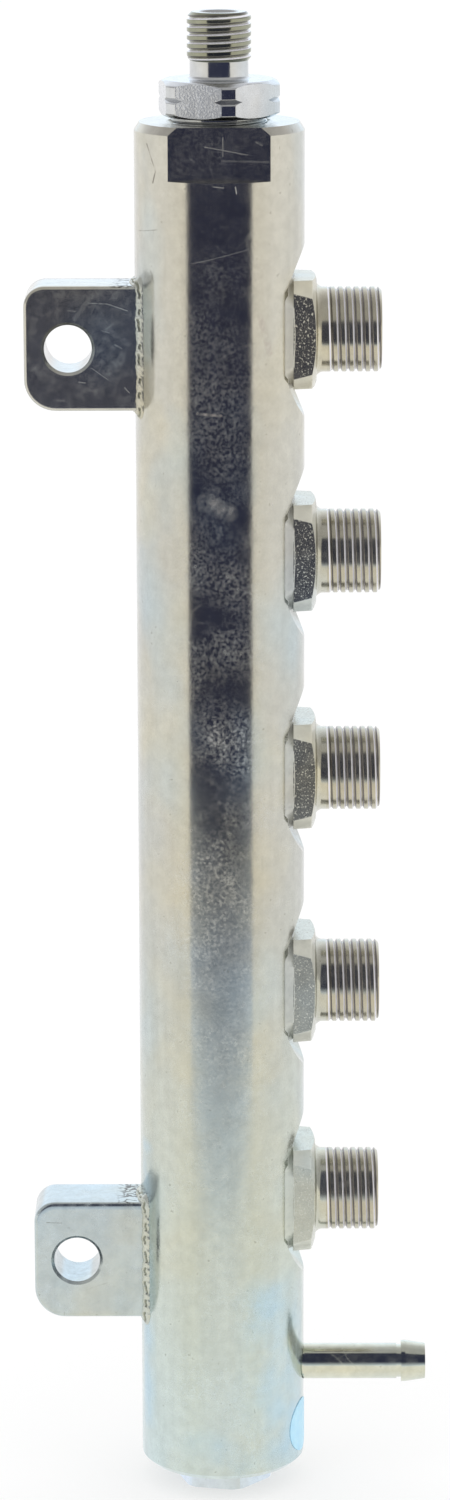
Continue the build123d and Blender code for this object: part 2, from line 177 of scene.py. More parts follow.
tab_dark_scratches = [
    ((-34.4, 54.6), (-31.4, 54.5), 0.25, 0.7),
    ((-30.2, 53.5), (-30.0, 53.5), 0.6, 0.6),
    ((-26.0, 41.0), (-22.5, 42.2), 0.2, 0.3),
]

# The dark room in front, as the bright metal mirrors it: its lower and upper edge (distance, height), the
# heights between which it fades at its top and at its foot, and half its bearing in degrees
room_low = (386.0, -70.0)
room_high = (97.0, 291.0)
room_fade = (279.0, 291.0)
floor_fade = (74.0, -67.0)
room_bearing = 43.0

# Camera, fitted to the photograph: place in millimetres, turns in degrees, focal length in picture pixels
picture_height = 1500
camera_place = (2.5, -905.2, 362.4)
camera_pitch = 13.32
camera_yaw = -0.11
camera_roll = -0.16
camera_focal = 4834.5


def linear(code):
    """An sRGB hex colour as linear red, green, blue and full alpha."""
    parts = [int(code[i:i + 2], 16) / 255 for i in (1, 3, 5)]
    return tuple(c / 12.92 if c <= 0.04045 else ((c + 0.055) / 1.055) ** 2.4 for c in parts) + (1.0,)


def skin(name, points, material, creased_rows=None, creased_columns=None, capped=False, **masks):
    """A closed skin through a grid of points (rows, columns, 3), whose rows and columns run round and join.

    Where it is capped, a flat face closes the first row and another the last, and those two don't join.
    Edges along a creased row, and edges down a creased column where the mask is true at both ends, stay
    sharp. Each further mask, a number for every point, is kept on the mesh for the material.
    """
    rows, columns = points.shape[:2]
    index = np.arange(rows * columns).reshape(rows, columns)
    right = np.roll(index, -1, axis=1)
    quads = np.stack([index, right, np.roll(right, -1, axis=0), np.roll(index, -1, axis=0)], axis=-1)
    quads = quads[:rows - capped].reshape(-1, 4)
    corners = points.reshape(-1, 3)
    a, b, c, d = (corners[quads[:, k]] for k in range(4))
    volume = np.einsum("ij,ij->", a, np.cross(b, c) + np.cross(c, d))
    caps = [index[0, ::-1], index[-1]] if capped else []
    if volume < 0:
        quads = quads[:, ::-1]
        caps = [cap[::-1] for cap in caps]
    mesh = bpy.data.meshes.new(name)
    mesh.vertices.add(len(corners))
    mesh.vertices.foreach_set("co", (corners * MM).ravel())
    loops = np.concatenate([quads.ravel(), *caps])
    mesh.loops.add(len(loops))
    mesh.loops.foreach_set("vertex_index", loops)
    mesh.polygons.add(len(quads) + len(caps))
    starts = np.concatenate([np.arange(0, quads.size, 4), quads.size + columns * np.arange(len(caps))])
    mesh.polygons.foreach_set("loop_start", starts.astype(int))
    mesh.polygons.foreach_set("use_smooth", np.arange(len(starts)) < len(quads))
    mesh.update(calc_edges=True)
    if creased_rows is not None:
        ends = np.empty(len(mesh.edges) * 2, int)
        mesh.edges.foreach_get("vertices", ends)
        row, column = np.divmod(ends.reshape(-1, 2), columns)
        along_row = (row[:, 0] == row[:, 1]) & creased_rows[row[:, 0]]
        down = (column[:, 0] == column[:, 1]) & creased_columns[row[:, 0], column[:, 0]]
        down &= creased_columns[row[:, 1], column[:, 1]]
        mesh.attributes.new("sharp_edge", "BOOLEAN", "EDGE").data.foreach_set("value", along_row | down)
    for key, values in masks.items():
        kept = np.broadcast_to(values, (rows, columns)).astype(np.float32)
        mesh.attributes.new(key, "FLOAT", "POINT").data.foreach_set("value", kept.ravel())
    mesh.validate()
    piece = bpy.data.objects.new(name, mesh)
    bpy.context.scene.collection.objects.link(piece)
    mesh.materials.append(material)
    return piece


def eased_outline(corners, step, fine_step, fine_from, fine_to):
    """The rows of a turned shape from its corners (place, radius, flats, ease).

    Each corner with an ease becomes a short curve that starts and ends that far from it, on
    P(t) = (1-t)^2 A + 2t(1-t) B + t^2 C. Straight stretches are cut into steps, finer between two places.
    Returns places, radii, the flats' distance from the axis, and which rows are creases.
    """
    count = len(corners)
    rows, flats, creases = [], [], []
    for i in range(count):
        before, here, after = (np.array(corners[k % count][:2], float) for k in (i - 1, i, i + 1))
        ease = corners[i][3]
        if ease:
            start = here + (before - here) * min(ease / np.linalg.norm(before - here), 0.45)
            end = here + (after - here) * min(ease / np.linalg.norm(after - here), 0.45)
            t = np.linspace(0, 1, 4)[:, None]
            curve = (1 - t) ** 2 * start + 2 * t * (1 - t) * here + t ** 2 * end
        else:
            curve = here[None]
        rows.append(curve)
        flats.append(np.full(len(curve), corners[i][2]))
        creases.append(np.full(len(curve), not ease))
        follow = np.array(corners[(i + 1) % count][:2], float)
        follow_ease = corners[(i + 1) % count][3]
        last = curve[-1]
        length = np.linalg.norm(follow - last)
        target = follow + (last - follow) * (min(follow_ease / length, 0.45) if follow_ease else 0)
        inside = fine_from < (last[0] + target[0]) / 2 < fine_to and abs(target[0] - last[0]) > fine_step
        pieces = max(1, math.ceil(np.linalg.norm(target - last) / (fine_step if inside else step)))
        t = np.arange(1, pieces)[:, None] / pieces
        rows.append(last + (target - last) * t)
        flats.append(np.full(pieces - 1, min(corners[i][2], corners[(i + 1) % count][2])))
        creases.append(np.zeros(pieces - 1, bool))
    places, radii = np.concatenate(rows).T
    return places, radii, np.concatenate(flats), np.concatenate(creases)


def groove(phase):
    """How deep a thread is cut, 0 to 1, at a phase of its pitch.

    A triangle wave |2 frac(p) - 1| is clipped to a crest and a root, and three neighbouring sections are
    averaged to ease the edges.
    """
    crest, root, ease = 0.5, 0.12, 0.03
    shape = 0
    for shift in (-ease, 0, ease):
        wave = np.abs(2 * np.mod(phase + shift, 1) - 1)
        shape = shape + np.clip((wave - crest) / (1 - crest - root), 0, 1) / 3
    return shape


def turned(name, corners, sides, material, axis, threads, level=0.0, turn=0.0):
    """A turned piece, bored right through, some of whose rows have flats.

    Radius = min(turned radius, flats / cos(angle from the flat's middle)). The columns of a row with
    flats gather on the line where the flat meets the turned corner. A thread (start, end, radius, tint)
    takes depth * groove(place / pitch - angle / full turn) off the rows that lie within the thread band
    under its radius, and runs out over one turn at its start.
    """
    half = 8 if sides == 4 else 6
    fine_from = min([t[0] for t in threads])
    fine_to = max([t[1] for t in threads])
    places, radii, flats, creases = eased_outline(corners, 0.5, thread_pitch / 18, fine_from, fine_to)
    has_flats = radii > flats * 1.0005
    crossing = np.arccos(np.clip(flats / np.maximum(radii, 1e-9), -1, 1)) * has_flats
    sector = math.pi / sides
    # A flat stays a little narrower than its sector, so that its edge column never meets the next one's
    crossing = np.minimum(crossing, 0.97 * sector)
    step = np.arange(-2 * half, 2 * half)
    share = np.abs(step) / half
    even = share / 2 * sector
    gathered = np.where(share <= 1, crossing[:, None] * share,
                        crossing[:, None] + (sector - crossing[:, None]) * (share - 1))
    local = np.where(has_flats[:, None], gathered, even) * np.sign(step)
    angle = (local[:, None, :] + (np.arange(sides) * 2 * sector)[None, :, None]).reshape(len(places), -1)
    local = np.tile(local, (1, sides))
    radius = np.minimum(radii[:, None], np.where(has_flats[:, None], flats[:, None] / np.cos(local), np.inf))
    along = places[:, None]
    threaded, flank = np.zeros((2,) + radius.shape)
    for start, end, thread_radius, tint in threads:
        phase = (along - thread_phase * thread_pitch) / thread_pitch - angle / math.tau
        cut = thread_depth * groove(phase)
        # Which way the groove's flank leans, kept for the material's painted highlight on one flank and painted
        # shade on the other
        lean = groove(phase + 0.05) - groove(phase - 0.05)
        cut = cut * np.clip((along - start) / thread_pitch, 0, 1) * (along < end)
        outside = (radii[:, None] > thread_radius - thread_band) & (radii[:, None] < thread_radius + 0.01)
        outside = outside & (along > start)
        radius = np.where(outside, np.minimum(radius, thread_radius - cut), radius)
        threaded = np.where(outside, tint, threaded)
        flank = np.where(outside, tint * np.clip(lean / 0.4, -1, 1), flank)
    angle = angle + math.radians(turn)
    along = np.broadcast_to(along, radius.shape)
    if axis == "x":
        points = np.stack([along, radius * np.cos(angle), level + radius * np.sin(angle)], axis=-1)
    else:
        points = np.stack([radius * np.cos(angle), radius * np.sin(angle), along], axis=-1)
    edge_columns = np.tile(np.abs(step) == half, sides)
    on_flat = has_flats[:, None] & (radius < radii[:, None] - 0.02)
    return skin(name, points, material, creases, has_flats[:, None] & edge_columns[None, :],
                drawn_flat=on_flat, turned_corner=has_flats[:, None] & ~on_flat, threaded=threaded, flank=flank)


def outlet_fitting(number, material):
    """A nipple: spigot, foot, square base with turned corners, neck, threaded end and cone mouth."""
    low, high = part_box(f"outlet_fitting_{number}")
    level = (low.z + high.z) / 2 / MM
    start, end = low.x / MM, high.x / MM
    round_part = math.inf
    corners = [
        (start, drill_radius, round_part, 0),
        (start, spigot_radius, round_part, 0.2),
        (pocket_floor_reach, spigot_radius, round_part, 0),
        (pocket_floor_reach, foot_radius, round_part, 0),
        (base_back_reach, foot_radius, round_part, 0),
        (base_back_reach, base_back_radius, base_flats, 0.12),
        (base_front_reach - base_chamfer_depth, base_front_radius, base_flats, 0.15),
        (base_front_reach, base_face_radius, base_flats, 0.15),
        (base_front_reach, outlet_neck_radius, round_part, 0.3),
        (outlet_land_start, outlet_thread_radius, round_part, 0.5),
        (end - outlet_end_chamfer, outlet_thread_radius, round_part, 0.15),
        (end, outlet_thread_radius - outlet_end_chamfer, round_part, 0.12),
        (end, outlet_mouth_radius, round_part, 0.12),
        (end - (outlet_mouth_radius - drill_radius) * pipe_cone_slope, drill_radius, round_part, 0),
    ]
    thread = (outlet_thread_start, end, outlet_thread_radius, 1.0)
    name = f"threaded_outlet_fitting_{number}"
    piece = turned(name, corners, 4, material, "x", level=level, threads=[thread])
    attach(piece, "rail")
    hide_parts(f"outlet_fitting_{number}")


def end_adaptor(material):
    """The upper end's adaptor: nose cone, threaded stem, hexagon with a groove round it, threaded nipple."""
    low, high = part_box("end_adaptor")
    bottom, top = low.z / MM, high.z / MM
    neck_top = top - adaptor_thread_length
    hex_top = neck_top - adaptor_neck_length
    hex_bottom = hex_top - adaptor_hex_height
    hex_middle = (hex_top + hex_bottom) / 2
    stem_end = hex_bottom - stem_length
    round_part = math.inf
    flats = adaptor_hex_flats
    corners = [
        (bottom, drill_radius, round_part, 0),
        (bottom, nose_tip_radius, round_part, 0),
        (bottom + nose_height, nose_radius, round_part, 0),
        (stem_end, nose_radius, round_part, 0),
        (stem_end, stem_radius, round_part, 0),
        (hex_bottom, stem_radius, round_part, 0),
        (hex_bottom, adaptor_face_radius, flats, 0.1),
        (hex_bottom + adaptor_chamfer_height, adaptor_corner_radius, flats, 0.25),
        (hex_middle - adaptor_groove_depth, adaptor_corner_radius, flats, 0.1),
        (hex_middle, adaptor_corner_radius - adaptor_groove_depth, flats, 0),
        (hex_middle + adaptor_groove_depth, adaptor_corner_radius, flats, 0.1),
        (hex_top - adaptor_chamfer_height, adaptor_corner_radius, flats, 0.25),
        (hex_top, adaptor_face_radius, flats, 0.15),
        (hex_top, adaptor_neck_radius, round_part, 0.6),
        (neck_top, adaptor_neck_radius, round_part, 0.1),
        (neck_top + adaptor_thread_chamfer, adaptor_thread_radius, round_part, 0.1),
        (top - adaptor_end_chamfer, adaptor_thread_radius, round_part, 0.2),
        (top, adaptor_thread_radius - adaptor_end_chamfer, round_part, 0.15),
        (top, adaptor_mouth_radius, round_part, 0.12),
        (top - (adaptor_mouth_radius - drill_radius) * pipe_cone_slope, drill_radius, round_part, 0),
    ]
    threads = [(stem_end, hex_bottom - 0.1, stem_radius, 0.2), (neck_top, top, adaptor_thread_radius, 1.0)]
    # A flat faces +X before the turn: -90 brings it to the front, and 30 a corner in its place
    turn = adaptor_turn - 90 + 30
    piece = turned("threaded_end_adaptor", corners, 6, material, "z", turn=turn, threads=threads)
    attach(piece, "rail")
    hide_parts("end_adaptor")


def braze_collar(number, material):
    """The braze metal that fills the gap between the tube and a nipple's base.

    Its upper edge follows the base's outline, r = min(flats / cos a, limit). Its toe lies a little
    further out on the pocket's floor, but no further to the front or back than the pocket's rim on the
    tube. Between them the skin dips by d sin(pi v), with fine lumps.
    """
    low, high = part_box(f"outlet_fitting_{number}")
    level = (low.z + high.z) / 2 / MM
    rng = np.random.default_rng(10 + number)
    angle = np.linspace(0, math.tau, 288, endpoint=False)
    from_flat = np.mod(angle + math.pi / 4, math.pi / 2) - math.pi / 4
    wander = sum(np.sin(angle * k + rng.uniform(0, math.tau)) * 0.4 / k for k in (2, 3, 5, 7, 11, 17, 23, 31))
    top = np.minimum((base_flats + 0.03) / np.cos(from_flat), collar_limit_radius + 0.25 * wander)
    top_reach = base_back_reach + 0.12 + 0.22 * np.cos(2 * from_flat) ** 4 + 0.06 * wander
    toe = top + collar_width + 0.15 * wander
    toe_y = np.clip(toe * np.cos(angle), -pocket_half_width, pocket_half_width)
    toe_z = toe * np.sin(angle)
    toe_reach = np.minimum(pocket_floor_reach, np.sqrt(rail_radius ** 2 - toe_y ** 2)) - 0.03
    top_y, top_z = top * np.cos(angle), top * np.sin(angle)
    across = np.linspace(0, 1, 9)[:, None]
    fine_lumps = 0.035 * np.sin(angle * 61 + 9 * across) * np.sin(angle * 23 - 4 * across)
    dip = collar_dip * np.sin(math.pi * across) + fine_lumps * np.sin(math.pi * across)
    outer = np.stack([
        toe_reach + (top_reach - toe_reach) * across - 0.3 * dip,
        toe_y + (top_y - toe_y) * across - dip * np.cos(angle),
        level + toe_z + (top_z - toe_z) * across - dip * np.sin(angle),
    ], axis=-1)
    inner_y, inner_z = collar_inner_radius * np.cos(angle), collar_inner_radius * np.sin(angle)
    inner = [np.stack([reach, inner_y, level + inner_z], axis=-1)
             for reach in (top_reach - 0.3, toe_reach - 0.2)]
    piece = skin(f"braze_collar_{number}", np.concatenate([outer, np.stack(inner)]), material)
    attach(piece, "rail")
    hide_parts(f"braze_ring_{number}")


def tab_plate(place, material):
    """A drilled plate with rounded edges.

    Its outline is a rectangle with corners rounded by their own radii. From the hole's wall the skin goes
    over the hole's chamfer, across the front, round the edge (inset e (1 - sin t), depth e (1 - cos t)),
    and back on the far side. Each point on the outline is joined to the hole's point in the same
    direction.
    """
    low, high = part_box(f"mounting_tab_{place}")
    level = (low.z + high.z) / 2 / MM
    half = tab_half_height
    spots = [(-tab_root, half, tab_root_corner, 0), (-tab_reach, half, tab_upper_corner, 90),
             (-tab_reach, -half, tab_lower_corner, 180), (-tab_root, -half, tab_root_corner, 270)]
    outline, normals = [], []
    for x, z, radius, start in spots:
        bearing = np.radians(start + np.linspace(0, 90, 13))
        unit = np.stack([np.cos(bearing), np.sin(bearing)], axis=-1)
        centre = np.array([x - math.copysign(radius, x + 25), z - math.copysign(radius, z)])
        outline.append(centre + radius * unit)
        normals.append(unit)
    outline, normals = np.concatenate(outline), np.concatenate(normals)
    closed, closed_normals = np.concatenate([outline, outline[:1]]), np.concatenate([normals, normals[:1]])
    pieces = np.maximum(1, np.ceil(np.linalg.norm(np.diff(closed, axis=0), axis=1) / 0.8)).astype(int)
    share = np.concatenate([np.arange(n) / n for n in pieces])[:, None]
    leg = np.repeat(np.arange(len(pieces)), pieces)
    edge = closed[leg] * (1 - share) + closed[leg + 1] * share
    normal = closed_normals[leg] * (1 - share) + closed_normals[leg + 1] * share
    hole = np.array([-tab_hole_reach, 0.0])
    ray = edge - hole
    ray = ray / np.linalg.norm(ray, axis=1, keepdims=True)
    deep = tab_half_thickness
    rim = tab_hole_radius + tab_hole_chamfer
    swing = np.radians(np.linspace(0, 90, 8))
    insets = tab_edge_radius * (1 - np.sin(swing))
    depths = tab_edge_radius * (1 - np.cos(swing))
    half_rows = [(hole + ray * tab_hole_radius, 0.0), (hole + ray * tab_hole_radius, deep - tab_hole_chamfer),
                 (hole + ray * rim, deep)]
    flat_edge = edge - normal * tab_edge_radius
    half_rows += [(hole + ray * rim + (flat_edge - hole - ray * rim) * part, deep)
                  for part in (0.1, 0.5, 0.9)]
    half_rows += [(edge - normal * inset, deep - depth) for inset, depth in zip(insets, depths)]
    half_rows += [(edge, deep * part) for part in (0.5, 0.0)]
    rows = [(flat, -y) for flat, y in half_rows] + [(flat, y) for flat, y in half_rows[-2:0:-1]]
    points = np.stack([np.stack([flat[:, 0], np.full(len(flat), y), level + flat[:, 1]], axis=-1)
                       for flat, y in rows])
    creases = np.isin(np.arange(len(rows)), (1, 2, len(rows) - 1, len(rows) - 2))
    piece = skin(f"drilled_plate_{place}", points, material, creases, np.zeros(points.shape[:2], bool))
    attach(piece, "rail")
    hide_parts(f"mounting_tab_{place}")


def weld_bead(place, material, seed):
    """The bead round a tab's root.

    The path goes round the tab's rectangle in y and z with corners of radius c. Across it the skin goes
    from a toe on the tube, one leg outside the tab, to a toe on the tab, bulged by b sin(pi v), and back
    inside the metal. The leg grows to the pointed run-outs at the four corners, and the bulge swells with
    the ripples of the weld pool.
    """
    low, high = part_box(f"mounting_tab_{place}")
    level = (low.z + high.z) / 2 / MM
    rng = np.random.default_rng(seed)
    quarter = np.linspace(0, math.pi / 2, 7)
    arc = np.stack([np.cos(quarter), np.sin(quarter)], axis=-1) * weld_corner
    inner = np.array([tab_half_thickness - weld_corner, tab_half_height - weld_corner])
    turns = [np.array([[math.cos(q), -math.sin(q)], [math.sin(q), math.cos(q)]])
             for q in np.arange(4) * math.pi / 2]
    signs = [np.array(s) for s in ((1, 1), (-1, 1), (-1, -1), (1, -1))]
    path = np.concatenate([inner * s + arc @ turn.T for s, turn in zip(signs, turns)])
    path = np.concatenate([path, path[:1]])
    reach = np.concatenate([[0], np.cumsum(np.linalg.norm(np.diff(path, axis=0), axis=1))])
    arc_length = np.linspace(0, reach[-1], weld_samples, endpoint=False)
    y, z = (np.interp(arc_length, reach, path[:, k]) for k in (0, 1))
    normal = np.stack([np.roll(z, -2) - np.roll(z, 2), np.roll(y, 2) - np.roll(y, -2)], axis=-1)
    normal = normal / np.linalg.norm(normal, axis=1, keepdims=True)
    side = np.abs(normal[:, 0])
    to_corner = np.hypot(np.abs(y) - tab_half_thickness, np.abs(z) - tab_half_height)
    wander = sum(np.sin(arc_length * math.tau / wave + rng.uniform(0, math.tau)) * size
                 for wave, size in ((7.3, 0.10), (3.1, 0.07), (1.3, 0.05)))
    leg = weld_end_leg + (weld_leg - weld_end_leg) * side
    leg = leg + weld_runout * np.exp(-(to_corner / weld_runout_length) ** 2) * (1 - side) + wander
    ripple = 0.5 + 0.5 * np.sin(arc_length * math.tau / weld_ripple_pitch + 1.5 * wander)
    across = np.linspace(0, 1, 15)[:, None]
    toe_y, toe_z = y + normal[:, 0] * leg, z + normal[:, 1] * leg
    toe_x = -np.sqrt((rail_radius - 0.05) ** 2 - toe_y ** 2)
    root_x = -np.sqrt(rail_radius ** 2 - y ** 2)
    climb = weld_climb + 0.8 * wander
    tab_x, tab_y, tab_z = root_x - climb, y - 0.04 * normal[:, 0], z - 0.04 * normal[:, 1]
    bulge = np.sin(math.pi * across) * (weld_bulge + 0.07 * ripple)
    grain = 0.03 * np.sin(arc_length * 11 + 5 * across) * np.sin(arc_length * 4.3 - 9 * across)
    grain = grain * np.sin(math.pi * across)
    pool = np.clip(1.7 * np.sin(arc_length * math.tau / weld_ripple_pitch + 8 * wander) + 0.6, 0, 1)
    pool = pool * np.exp(-((across - 0.5 - 0.8 * wander) / 0.13) ** 2)
    out = bulge + grain - weld_pool_depth * pool
    outer = np.stack([
        toe_x + (tab_x - toe_x) * across - 0.7 * out,
        toe_y + (tab_y - toe_y) * across + 0.7 * out * normal[:, 0],
        level + toe_z + (tab_z - toe_z) * across + 0.7 * out * normal[:, 1],
    ], axis=-1)
    buried = np.stack([root_x + 0.4, y - 0.3 * normal[:, 0], level + z - 0.3 * normal[:, 1]], axis=-1)
    points = np.concatenate([outer, buried[None]])
    hollows = np.concatenate([pool, np.zeros((1, weld_samples))])
    piece = skin(f"rippled_weld_{place}", points, material, pool=hollows)
    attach(piece, "rail")
    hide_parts(f"tab_weld_{place}")


def coil_spring(material):
    """The spring behind the plunger: round wire on a helix, with both ends ground flat.

    Centre line C(t) = (r cos a, r sin a, bottom + length t) with a = full turn * turns * t. Round it goes
    the wire, C + w (cos b R + sin b N), with R pointing out from the axis and N square to R and to the
    line. Heights are held between the shim and the plunger.
    """
    low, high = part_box("valve_spring")
    bottom, top = low.z / MM, high.z / MM
    share = np.linspace(0, 1, int(spring_turns * 40))[:, None]
    angle = math.tau * spring_turns * share
    rise = (top - bottom) / (math.tau * spring_turns)
    steep = math.hypot(spring_mean_radius, rise)
    sideways, upwards = rise / steep, spring_mean_radius / steep
    round_wire = np.linspace(0, math.tau, 20, endpoint=False)[None, :]
    outward = spring_mean_radius + spring_wire_radius * np.cos(round_wire)
    lift = spring_wire_radius * np.sin(round_wire)
    points = np.stack([
        outward * np.cos(angle) + lift * sideways * np.sin(angle),
        outward * np.sin(angle) - lift * sideways * np.cos(angle),
        np.clip(bottom + (top - bottom) * share + lift * upwards, bottom, top),
    ], axis=-1)
    piece = skin("wound_valve_spring", points, material, capped=True)
    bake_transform(piece)
    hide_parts("valve_spring")


def node(tree, kind, *values, out=None, **settings):
    """Adds a shader node and returns an output of it, the first one unless out names another.

    values fill its sockets in order. A setting that starts with a capital names a socket, any other a
    property.
    """
    made = tree.nodes.new("ShaderNode" + kind)
    for key, value in settings.items():
        if key[0].islower():
            setattr(made, key, value)
    sockets = [socket for socket in made.inputs if socket.enabled]
    given = list(zip(sockets, values))
    given += [(next(socket for socket in sockets if socket.name == key.replace("_", " ")), value)
              for key, value in settings.items() if key[0].isupper()]
    for socket, value in given:
        if isinstance(value, bpy.types.NodeSocket):
            tree.links.new(value, socket)
        else:
            socket.default_value = value
    outputs = [socket for socket in made.outputs if socket.enabled]
    return made.outputs[out] if out else outputs[0] if outputs else made


def start_material(name):
    """An empty material: its tree, its shader's sockets, and the point in millimetres on the piece."""
    material = bpy.data.materials.new(name)
    material.use_nodes = True
    tree = material.node_tree
    tree.nodes.clear()
    surface = node(tree, "BsdfPrincipled")
    node(tree, "OutputMaterial", surface)
    place = node(tree, "TexCoord", out="Object")
    point = node(tree, "VectorMath", place, 1 / MM, operation="SCALE")
    return material, tree, surface.node.inputs, point


def lumps(tree, point, size, detail=3.0, stretch=(1, 1, 1), turn=0.0, roughness=0.5):
    """Cloudy noise whose lumps are about size millimetres across, drawn out by stretch and turned about Y."""
    scale = tuple(1 / (size * part) for part in stretch)
    turned_point = node(tree, "Mapping", point, Rotation=(0, turn, 0))
    spread = node(tree, "Mapping", turned_point, Scale=scale)
    return node(tree, "TexNoise", spread, Scale=1.0, Detail=detail, Roughness=roughness)


def hairlines(tree, point, size, width, cover, turn=0.0, stretch=(1, 1, 1)):
    """Fine curved scratches: the level line of a noise, kept where a second noise is high."""
    field = node(tree, "Math", lumps(tree, point, size, 1.0, stretch, turn, 0.4), 0.5, operation="SUBTRACT")
    away = node(tree, "Math", field, operation="ABSOLUTE")
    line = node(tree, "MapRange", away, width * 0.4, width, 1.0, 0.0)
    kept = node(tree, "MapRange", lumps(tree, point, size * 0.6, 2.0), cover, cover + 0.05)
    return node(tree, "Math", line, kept, operation="MULTIPLY")


def marked(tree, point, marks):
    """Straight marks on the front, each from one (x, z) to another, width wide and so strong.

    A point's strength falls off with its distance from the nearest point of the line between the two ends.
    """
    flattened = node(tree, "VectorMath", point, (1, 0, 1), operation="MULTIPLY")
    depth = node(tree, "SeparateXYZ", point, out="Y")
    total = None
    for (start_x, start_z), (end_x, end_z), width, strength in marks:
        length = math.hypot(end_x - start_x, end_z - start_z)
        way = ((end_x - start_x) / length, 0, (end_z - start_z) / length)
        offset = node(tree, "VectorMath", flattened, (start_x, 0, start_z), operation="SUBTRACT")
        along = node(tree, "VectorMath", offset, way, operation="DOT_PRODUCT")
        held = node(tree, "MapRange", along, 0.0, length, 0.0, length)
        foot = node(tree, "VectorMath", way, held, operation="SCALE")
        away = node(tree, "VectorMath", offset, foot, operation="DISTANCE")
        mark = node(tree, "MapRange", away, width * 0.15, width * 0.5, strength, 0.0)
        total = mark if total is None else node(tree, "Math", total, mark, operation="MAXIMUM")
    front = node(tree, "MapRange", depth, -5.0, -3.0, 1.0, 0.0)
    return node(tree, "Math", total, front, operation="MULTIPLY")


def set_stops(ramp, stops):
    """Gives a colour ramp its stops, each a place and a linear colour."""
    elements = ramp.node.color_ramp.elements
    for stop, (place, colour) in enumerate(stops):
        element = elements[stop] if stop < 2 else elements.new(place)
        element.position = place
        element.color = colour


